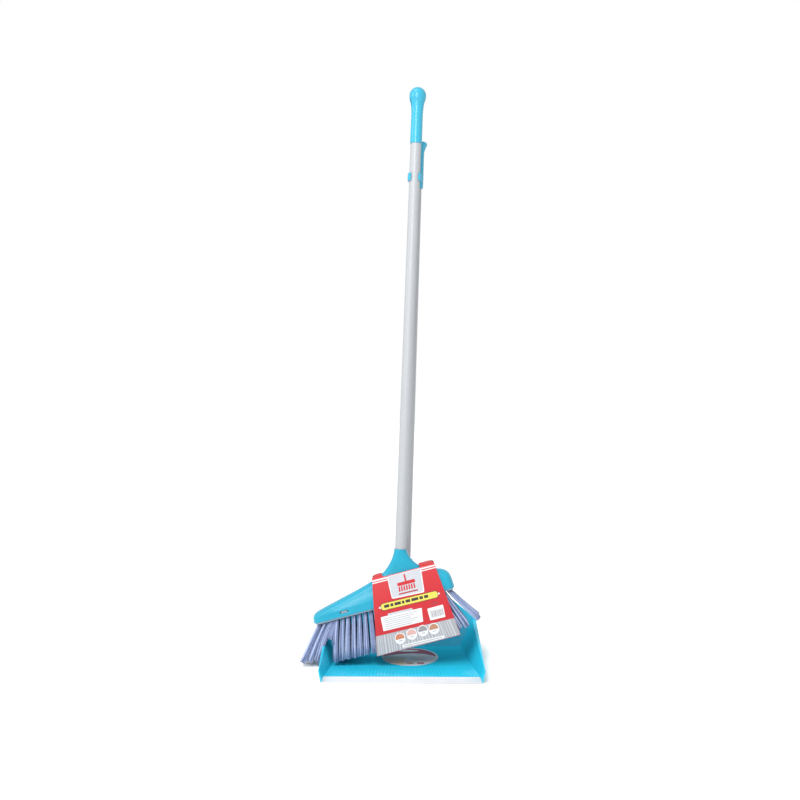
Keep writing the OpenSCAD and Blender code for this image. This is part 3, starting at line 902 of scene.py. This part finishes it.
# soft lip: its section is (depth, height), with two grooves along its top
lipShape = {
    "half": 126.8,
    "profile": [(-103.5, 0.1), (-103.5, 0.9), (-102.7, 1.5), (-98, 2.7), (-97.4, 2.5), (-96.8, 3.1),
                (-93.6, 4.1), (-93, 3.9), (-92.4, 4.4), (-88, 5.9), (-87.6, 5.9), (-87.6, 3.5), (-98.5, 0.1)],
}


def makeLip():
    s = lipShape
    calm()
    bpy.ops.mesh.primitive_circle_add(vertices=len(s["profile"]), radius=5, fill_type="NGON")
    lip = named("softLip")
    for corner, (y, z) in zip(lip.data.vertices, s["profile"]):
        corner.co = (-s["half"], y, z)
    edit(lip)
    bpy.ops.mesh.select_all(action="SELECT")
    bpy.ops.mesh.extrude_region_move(TRANSFORM_OT_translate={"value": (2 * s["half"], 0, 0)})
    bpy.ops.object.mode_set(mode="OBJECT")
    slope = (panShape["frontHalf"] - panShape["backHalf"]) / (panShape["back"] - panShape["front"])
    for corner in lip.data.vertices:
        # the ends follow the side walls
        corner.co.x -= math.copysign((corner.co.y - panShape["front"]) * slope, corner.co.x)
    tidyMesh(lip)
    finishWith(lip, "BEVEL", width=0.25, segments=2, limit_method="ANGLE", angle_limit=math.radians(50))
    smooth(lip, 35)
    settle(lip, metres)
    wear(lip, "lip")
    stands(lip, "pan", "soft_lip", "pan_lip")


makeLip()
print("lip ready")

# printing: flat shapes laid just over a surface


def flatShape(name, outline, finish, lift, onto):
    # a filled outline in (across, up), carried on to a surface by a rule
    calm()
    bpy.ops.mesh.primitive_circle_add(vertices=len(outline), radius=5, fill_type="NGON")
    shape = named(name)
    for corner, (a, b) in zip(shape.data.vertices, outline):
        corner.co = (a, b, 0)
    edit(shape)
    bpy.ops.mesh.select_all(action="SELECT")
    bpy.ops.mesh.normals_make_consistent(inside=False)
    bpy.ops.object.mode_set(mode="OBJECT")
    if shape.data.polygons[0].normal.z < 0:
        edit(shape)
        bpy.ops.mesh.select_all(action="SELECT")
        bpy.ops.mesh.flip_normals()
        bpy.ops.object.mode_set(mode="OBJECT")
    for corner in shape.data.vertices:
        corner.co = onto(corner.co.x, corner.co.y, lift)
    wear(shape, finish)
    return shape


def disc(a, b, wide, high=None, first=0, last=360, steps=40):
    high = high or wide
    full = last - first >= 360
    count = steps if full else steps + 1
    return [(a + wide * math.cos(math.radians(first + (last - first) * k / steps)),
             b + high * math.sin(math.radians(first + (last - first) * k / steps))) for k in range(count)]


def roundedBox(corners, r, steps=5):
    # four corners in turn, each replaced by a short arc
    line = []
    for k in range(4):
        p, q, n = Vector(corners[k - 1]), Vector(corners[k]), Vector(corners[(k + 1) % 4])
        into, out = (q - p).normalized() * r, (n - q).normalized() * r
        for j in range(steps + 1):
            t = j / steps
            line.append(tuple((q - into) * (1 - t) ** 2 + q * 2 * t * (1 - t) + (q + out) * t ** 2))
    return line


def bar(a0, b0, a1, b1, thick):
    way = Vector((a1 - a0, b1 - b0)).normalized() * thick / 2
    side = Vector((-way.y, way.x))
    return [(a0 + side.x, b0 + side.y), (a0 - side.x, b0 - side.y),
            (a1 - side.x, b1 - side.y), (a1 + side.x, b1 + side.y)]


labelShape = {"middle": (14, 35.4), "half": (49, 52.9), "up": 2.25, "rim": 3}


def makeLabel():
    s = labelShape
    (x, y), (wide, deep) = s["middle"], s["half"]

    def onto(a, b, lift):
        return (x + a, y + b, s["up"] + lift)

    inWide, inDeep = wide - s["rim"] - 0.4, deep - s["rim"] - 0.4
    sweep = [(-44, 2), (-20, 14), (6, 20), (26, 16), (40, 6), (44, 2), (30, 0), (0, -2), (-30, -2)]
    shapes = [
        flatShape("labelRim", disc(0, 0, wide, deep, steps=72), "white", 0.1, onto),
        flatShape("labelField", disc(0, 0, wide - s["rim"], deep - s["rim"], steps=72), "white", 0.16, onto),
        flatShape("labelTop", disc(0, 0, inWide, inDeep, 4, 176, 40), "darkRed", 0.22, onto),
        flatShape("labelSweep", sweep, "white", 0.28, onto),
        flatShape("labelSand", [(-8, -4)] + disc(0, 0, inWide, inDeep, 186, 258, 24), "beige", 0.22, onto),
        flatShape("labelCap", disc(-4, 36, 20, 6, steps=36), "white", 0.3, onto),
    ]
    for k, long in enumerate((26, 22, 18)):
        across, up = 2 + 4 * k, -10 - 7 * k
        shapes.append(flatShape("labelDash", bar(across, up, across + long, up, 1.6), "greyBand", 0.22, onto))
    for a, tone in ((-6, "brown"), (12, "darkRed")):
        patch = roundedBox([(a, -34), (a, -42), (a + 12, -42), (a + 12, -34)], 2)
        shapes.append(flatShape("labelPatch", patch, tone, 0.3, onto))
    label = joined(shapes, "floorLabel")
    settle(label, metres)
    stands(label, "pan", "label", "pan_label")


makeLabel()
print("label ready")

# card sleeve: two panels and two folds over the head, closed under the tufts

cardShape = {
    "top": 47, "foot": -75, "topHalf": 18, "footHalf": 35, "thick": 0.8, "ridge": 5.5, "ridgeHalf": 4,
    "leftTop": -32, "leftFoot": -56, "rightTop": 73, "rightFoot": 87.5, "fullHigh": 60, "fullLow": -76,
    "cutLeft": -17, "cutRight": 48.5, "cutIn": 9,
}


def cardEnd(v, side):
    s = cardShape
    t = (s["fullHigh"] - v) / (s["fullHigh"] - s["fullLow"])
    if side < 0:
        return s["leftTop"] + (s["leftFoot"] - s["leftTop"]) * t
    return s["rightTop"] + (s["rightFoot"] - s["rightTop"]) * t


def cardDepth(v):
    s = cardShape
    return s["topHalf"] + (s["footHalf"] - s["topHalf"]) * (s["top"] - v) / (s["top"] - s["foot"])


def onCardFront(u, v, lift):
    return (u, -cardDepth(v) - lift, v)


def onCardBack(u, v, lift):
    return (u, cardDepth(v) + lift, v)


def prism(outline, way):
    # a cutting tool: an outline pulled out straight
    bpy.ops.mesh.primitive_circle_add(vertices=len(outline), radius=5, fill_type="NGON")
    tool = named("cutTool")
    for corner, place in zip(tool.data.vertices, outline):
        corner.co = place
    edit(tool)
    bpy.ops.mesh.select_all(action="SELECT")
    bpy.ops.mesh.extrude_region_move(TRANSFORM_OT_translate={"value": way})
    bpy.ops.mesh.select_all(action="SELECT")
    bpy.ops.mesh.normals_make_consistent(inside=False)
    bpy.ops.object.mode_set(mode="OBJECT")
    return tool


def makeCard():
    s = cardShape
    calm()
    bpy.ops.mesh.primitive_plane_add(size=2, location=(0, 0, 0))
    card = named("cardSleeve")
    # the front panel first, then each fold is pulled out of the last edge
    for corner in card.data.vertices:
        v = s["top"] if corner.co.y > 0 else s["foot"]
        corner.co = (cardEnd(v, corner.co.x), -cardDepth(v), v)
    edit(card)
    pick(card, lambda middle, way: middle.z > s["top"] - 0.01, "EDGE")
    up = s["topHalf"] - s["ridgeHalf"]
    for back, rise in ((up, s["ridge"]), (2 * s["ridgeHalf"], 0), (up, -s["ridge"]),
                       (s["footHalf"] - s["topHalf"], s["foot"] - s["top"]), (-2 * s["footHalf"], 0)):
        bpy.ops.mesh.extrude_edges_move(TRANSFORM_OT_translate={"value": (0, back, rise)})
    bpy.ops.object.mode_set(mode="OBJECT")
    for corner in card.data.vertices:
        if corner.co.z < s["foot"] + 0.01:
            corner.co.x = cardEnd(s["foot"], corner.co.x)
    tidyMesh(card)
    finishWith(card, "BEVEL", width=0.9, segments=4, limit_method="ANGLE", angle_limit=math.radians(30))
    tidyMesh(card)
    finishWith(card, "SOLIDIFY", thickness=s["thick"], offset=-1, use_even_offset=True)
    # the hole in the fold that the neck comes up through, narrower in its middle than at the folds
    fold, waist, low = s["topHalf"] - 0.5, s["cutIn"], s["top"] - 4
    left, right = s["cutLeft"], s["cutRight"]
    hole = [(left + 3, -fold), (right + 1, -fold), (right, -waist), (right, waist),
            (right + 1, fold), (left + 3, fold), (left, waist), (left, -waist)]
    combine(card, prism([(u, y, low) for u, y in hole], (0, 0, 20)))
    # the folds' outer corners are cut round
    top, high = s["top"], s["top"] + s["ridge"]
    for side in (-1, 1):
        inner, outer = cardEnd(high, side), cardEnd(top, side)
        corner = [(outer + side * 3, top - 1), (outer + side * 3, top + 14), (inner - side * 8.5, top + 14),
                  (inner - side * 7.5, high + 0.2), (inner - side * 4, high - 0.9),
                  (inner - side * 1.2, high - 2.4), (outer + side * 0.1, top + 1.2),
                  (outer + side * 0.4, top - 1)]
        combine(card, prism([(u, -60, v) for u, v in corner], (0, 120, 0)))
    smooth(card, 30)
    settle(card, baseSpace)
    wear(card, "red")
    stands(card, "broom", "red_card", "card_sleeve")


def cardPrints(name, onto, mirrored=False):
    shapes = []
    middle, edge = 16, 0.15        # where the back's printing is turned over, and the card's bare edge
    lowest, layer = 0.08, 0.07     # each level of printing lies a layer above the one before

    def lay(shapeName, outline, finish, level):
        if mirrored:
            outline = [(middle - (u - middle), v) for u, v in outline]
        shapes.append(flatShape(shapeName, outline, finish, lowest + layer * level, onto))

    # stripes on both sides of the panel, on the front only
    for high, low in () if mirrored else ((45.6, 43.2), (41.6, 39.9)):
        leftHigh, leftLow = cardEnd(high, -1) + edge, cardEnd(low, -1) + edge
        rightHigh, rightLow = cardEnd(high, 1) - edge, cardEnd(low, 1) - edge
        lay("stripe", [(leftHigh, high), (leftLow, low), (-7.5, low), (-7.5, high)], "white", 0)
        lay("stripe", [(49.5, high), (49.5, low), (rightLow, low), (rightHigh, high)], "white", 0)
    lay("panelRim", roundedBox([(-8.6, 46), (-9.2, 8.6), (46.6, 6.2), (50.6, 46)], 3.5), "white", 1)
    lay("panel", roundedBox([(-7.4, 45.2), (-7.9, 10.4), (45.3, 8), (49.2, 45.2)], 2.6), "paleGrey", 2)
    # a plain picture of a brush instead of a name
    lay("brushHandle", bar(20.5, 43, 20.5, 31, 2.6), "red", 3)
    lay("brushBack", roundedBox([(5, 31.5), (5, 26), (36, 26), (36, 31.5)], 2.4), "red", 3)
    for k in range(7):
        root, tip = 6.4 + 4.2 * k, 5 + 4.35 * k
        lay("brushHair", [(root, 25), (tip, 17), (tip + 2.8, 17), (root + 2.3, 25)], "red", 3)
    lay("underline", roundedBox([(4, 14.4), (4, 12.2), (37, 11.6), (37, 13.8)], 0.8), "darkRed", 3)
    # a yellow band with a dark edge and pale points
    for u, way in ((-34.7, 1), (71.6, -1)):
        v = -0.4 if way > 0 else -1.8
        shoulder = u + way * 5.5
        lay("point", [(u, v), (shoulder, v + 3.4), (u + way * 9, v), (shoulder, v - 3.4)], "white", 1)
    lay("bandEdge", roundedBox([(-31, 5.6), (-31, -6.4), (68, -7.8), (68, 4.2)], 5), "ink", 2)
    lay("band", roundedBox([(-30, 4.8), (-30, -5.6), (67, -7), (67, 3.4)], 4.4), "yellow", 3)
    at = -25
    for long in (11, 7, 13, 6, 10, 14, 8, 9):
        lay("bandDash", bar(at, -0.5 - at * 0.013, at + long - 2.2, -0.6 - at * 0.013, 4.6), "ink", 4)
        at += long
    # a box of fine lines and a box of bars
    lay("infoBox", roundedBox([(-34.8, -15.4), (-35.7, -38.3), (32.5, -39.3), (35.5, -17.1)], 1.4),
        "white", 1)
    lay("infoTitle", roundedBox([(-22, -12.6), (-22, -15.6), (20, -16.5), (20, -13.5)], 0.8), "paleGrey", 2)
    for k in range(6):
        v = -19.5 - 3.2 * k
        lay("infoLine", bar(-31, v, 27 - (k % 3) * 6, v - 0.9, 0.8), "stone", 2)
    lay("dark", bar(52, -15, 64, -15.3, 4.2), "darkRed", 1)
    lay("barBox", roundedBox([(44.1, -21), (44.4, -40.4), (70.4, -40.8), (71.4, -20.6)], 1.2), "white", 1)
    at = 48
    for wide in (0.7, 1.2, 0.6, 0.9, 1.5, 0.7, 1.1, 0.6, 1.3, 0.8, 0.7, 1.0):
        lay("bar", [(at, -26), (at, -37), (at + wide, -37), (at + wide, -26)], "stone", 2)
        at += wide + 0.9
    # printed bristles along the foot
    lay("bristleBand", [(cardEnd(-43.4, -1) + edge, -43.4), (cardEnd(-74.2, -1) + edge, -74.2),
                        (cardEnd(-74.2, 1) - edge, -74.2), (cardEnd(-46.2, 1) - edge, -46.2)], "greyBand", 0)
    random.seed(4)
    at = -52
    while at < 82:
        wide = random.uniform(1.0, 2.6)
        top = -44.2 - 2.4 * (at + 52) / 134
        root = at * 0.93 + 1
        lay("printedHair", [(root, top), (at, -74), (at + wide, -74), (root + wide * 0.8, top)],
            "paleGrey", 1)
        at += wide + random.uniform(2.0, 4.2)
    for u, v, tone in ((-11.6, -56, "orange"), (8.9, -54, "pink"), (28.3, -53, "stone"),
                       (46.9, -54.4, "brown")):
        lay("spotRim", disc(u, v, 9), "white", 2)
        lay("spot", disc(u, v, 7.6, first=-8, last=188, steps=24), tone, 3)
        lay("spotDash", bar(u - 3, v - 4, u + 3, v - 4, 1), "stone", 3)
    lay("strip", [(-11, -67), (-11, -71.6), (60, -73.4), (60, -68.6)], "white", 2)
    lay("stripLine", bar(-8, -69.5, 56, -71, 0.9), "stone", 3)
    prints = joined(shapes, name)
    settle(prints, baseSpace)
    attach(prints, "broom")


makeCard()
cardPrints("cardFrontPrint", onCardFront)
cardPrints("cardBackPrint", onCardBack, mirrored=True)
print("card ready")

# bristles: a few tufts made strand by strand, then copied into their rows

hair = {
    "count": 24, "rows": 4, "pitch": 8, "uFirst": -135.6, "uLast": 85.6,
    "long": 72, "root": 2.5, "tip": 4.7, "bends": 3, "uneven": 3.2,
    "splayLeft": 29, "splayRight": 24, "fan": 12, "strands": 44, "sets": 3, "thick": 0.9, "tipThick": 0.72,
    # (lean, bend) of the tufts over the pan's left wall and of the last two on the right
    "over": [(-38, 0), (-39.5, 3), (-41, 8)], "lastRight": [(21, 0), (31, 2)],
    # how the wall pushes the tufts next to those: extra lean, its share in each row and the part
    # of it that is lean and not bend
    "straddle": (14, 11, 8, 5, 2), "rowPush": (0.5, 0.65, 0.85, 1.0), "leanPart": 0.4,
    # (place, lean, bend, length share) of the loose ones
    "strays": [(2.4, -39, 4, 0.95), (2.75, -31, 0, 0.5), (3.0, -21, 3, 0.62)],
}
goldenAngle = 2.399963   # spreads strands evenly over a round tuft
fullTurn = 6.28


def makeTuftSet(seed):
    # strands fill a round root and open towards uneven tips
    s = hair
    random.seed(seed)
    strands = []
    for k in range(s["strands"]):
        r = math.sqrt((k + 0.5) / s["strands"])
        out = Vector((math.cos(k * goldenAngle), math.sin(k * goldenAngle), 0)) * r
        root = out * s["root"] + Vector((0, 0, 0.3))
        wobble = Vector((random.uniform(-0.5, 0.5), random.uniform(-0.5, 0.5),
                         random.uniform(0, s["uneven"])))
        tip = out * s["tip"] + wobble - Vector((0, 0, s["long"]))
        way = tip - root
        calm()
        bpy.ops.mesh.primitive_cone_add(vertices=4, radius1=s["thick"], radius2=s["tipThick"],
                                        depth=way.length, location=(root + tip) / 2,
                                        rotation=way.to_track_quat("Z", "Y").to_euler())
        strand = bpy.context.object
        focus(strand)
        bpy.ops.object.transform_apply(location=True, rotation=True, scale=True)
        toneAndGlint = strand.data.attributes.new("toneAndGlint", "FLOAT", "POINT")
        # per-strand tone, mostly dull; the few strands near 1 get a painted glint in the bristle finish
        tone = random.random() ** 2.5
        for value in toneAndGlint.data:
            value.value = tone
        strands.append(strand)
    tuft = joined(strands, "tuftSet")
    edit(tuft)
    for k in range(1, s["bends"] + 1):
        bpy.ops.mesh.select_all(action="SELECT")
        bpy.ops.mesh.bisect(plane_co=(0, 0, -s["long"] * k / (s["bends"] + 1)), plane_no=(0, 0, 1))
    bpy.ops.object.mode_set(mode="OBJECT")
    along = tuft.data.attributes.new("along", "FLOAT", "POINT")
    for corner, value in zip(tuft.data.vertices, along.data):
        value.value = min(max(-corner.co.z / s["long"], 0), 1)
    return tuft


def tuftLean(row, i):
    # lean out of the block, and the rest of it that is taken up in a bend round the pan's wall
    s = hair
    if i < len(s["over"]):
        return s["over"][i]
    atEnd = i - s["count"] + len(s["lastRight"])
    if atEnd >= 0:
        return s["lastRight"][atEnd]
    lean = -s["splayLeft"] + (s["splayLeft"] + s["splayRight"]) * i / (s["count"] - 1)
    past = i - len(s["over"])
    push = s["straddle"][past] * s["rowPush"][row] if past < len(s["straddle"]) else 0
    return lean + push * s["leanPart"], push * (1 - s["leanPart"])


def layTuft(mesh, row, i, turn, lean, rest, share=1.0):
    s = hair
    mesh.transform(Matrix.Rotation(turn, 4, "Z"))
    if share < 1:
        # a loose one is shorter and a little thinner
        mesh.transform(Matrix.Diagonal((0.9, 0.9, share, 1)))
    for corner in mesh.vertices:
        t = min(max(-corner.co.z / s["long"], 0), 1)
        corner.co.x += s["long"] * math.sin(math.radians(rest)) * t * t
    u = s["uFirst"] + (s["uLast"] - s["uFirst"]) * i / (s["count"] - 1)
    fan = s["fan"] * (1 - 2 * row / 3)
    leant = Matrix.Rotation(math.radians(-fan), 4, "X") @ Matrix.Rotation(math.radians(-lean), 4, "Y")
    mesh.transform(Matrix.Translation((u, (row - 1.5) * s["pitch"], -1)) @ leant)


def tuftCopy(sets):
    tuft = bpy.data.objects.new("tuft", random.choice(sets).data.copy())
    bpy.context.scene.collection.objects.link(tuft)
    return tuft


def makeBristles():
    s = hair
    sets = [makeTuftSet(7 + k) for k in range(s["sets"])]
    random.seed(3)
    ends = []
    for row in range(s["rows"]):
        inRow = []
        for i in range(s["count"]):
            tuft = tuftCopy(sets)
            layTuft(tuft.data, row, i, random.uniform(0, fullTurn), *tuftLean(row, i))
            (ends if i in (0, s["count"] - 1) else inRow).append(tuft)
        for i, lean, rest, share in s["strays"]:
            # strands that lie over the pan's side wall
            tuft = tuftCopy(sets)
            layTuft(tuft.data, row, i, random.uniform(0, fullTurn), lean, rest, share)
            inRow.append(tuft)
        line = joined(inRow, "bristleRow" + str(row + 1))
        finishBristles(line, "tufts_row_" + str(row + 1))
    finishBristles(joined(ends, "bristleEnds"), "tufts_ends")
    for tuft in sets:
        bpy.data.objects.remove(tuft)


def finishBristles(line, node):
    settle(line, baseSpace)
    focus(line)
    bpy.ops.object.shade_smooth()
    wear(line, "bristle")
    stands(line, "broom", "filament", node)


makeBristles()
print("bristles ready")

# tuft block: a plate that shows as a grey line under the head

blockShape = {"left": -144.6, "right": 95, "half": 18.6, "show": 2.3, "up": 6}


def makeBlock():
    s = blockShape
    block = boxTool("tuftBlock", ((s["left"] + s["right"]) / 2, 0, (s["up"] - s["show"]) / 2),
                    (s["right"] - s["left"], 2 * s["half"], s["up"] + s["show"]))
    edit(block)
    pick(block, lambda middle, way: abs(way.z) > 0.9, "EDGE")
    bpy.ops.mesh.bevel(offset=5, segments=5)
    bpy.ops.object.mode_set(mode="OBJECT")
    finishWith(block, "BEVEL", width=0.5, segments=2, limit_method="ANGLE", angle_limit=math.radians(50))
    # the snap tab behind the window
    tab = boxTool("snapTab", (-92.8, -17.4, 7.4), (11, 3.2, 3))
    finishWith(tab, "BEVEL", width=0.6, segments=2)
    block = joined([block, tab], "tuftBlock")
    smooth(block, 35)
    settle(block, baseSpace)
    wear(block, "block")
    stands(block, "broom", "grey_plastic", "bristle_block")


makeBlock()

# what is left as packed, with its finish

for node in ("pan_pole_insert", "broom_pole_insert"):
    wear(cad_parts[node], "insert")
for row in range(hair["rows"]):
    wear(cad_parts["staples_row_" + str(row + 1)], "wire")
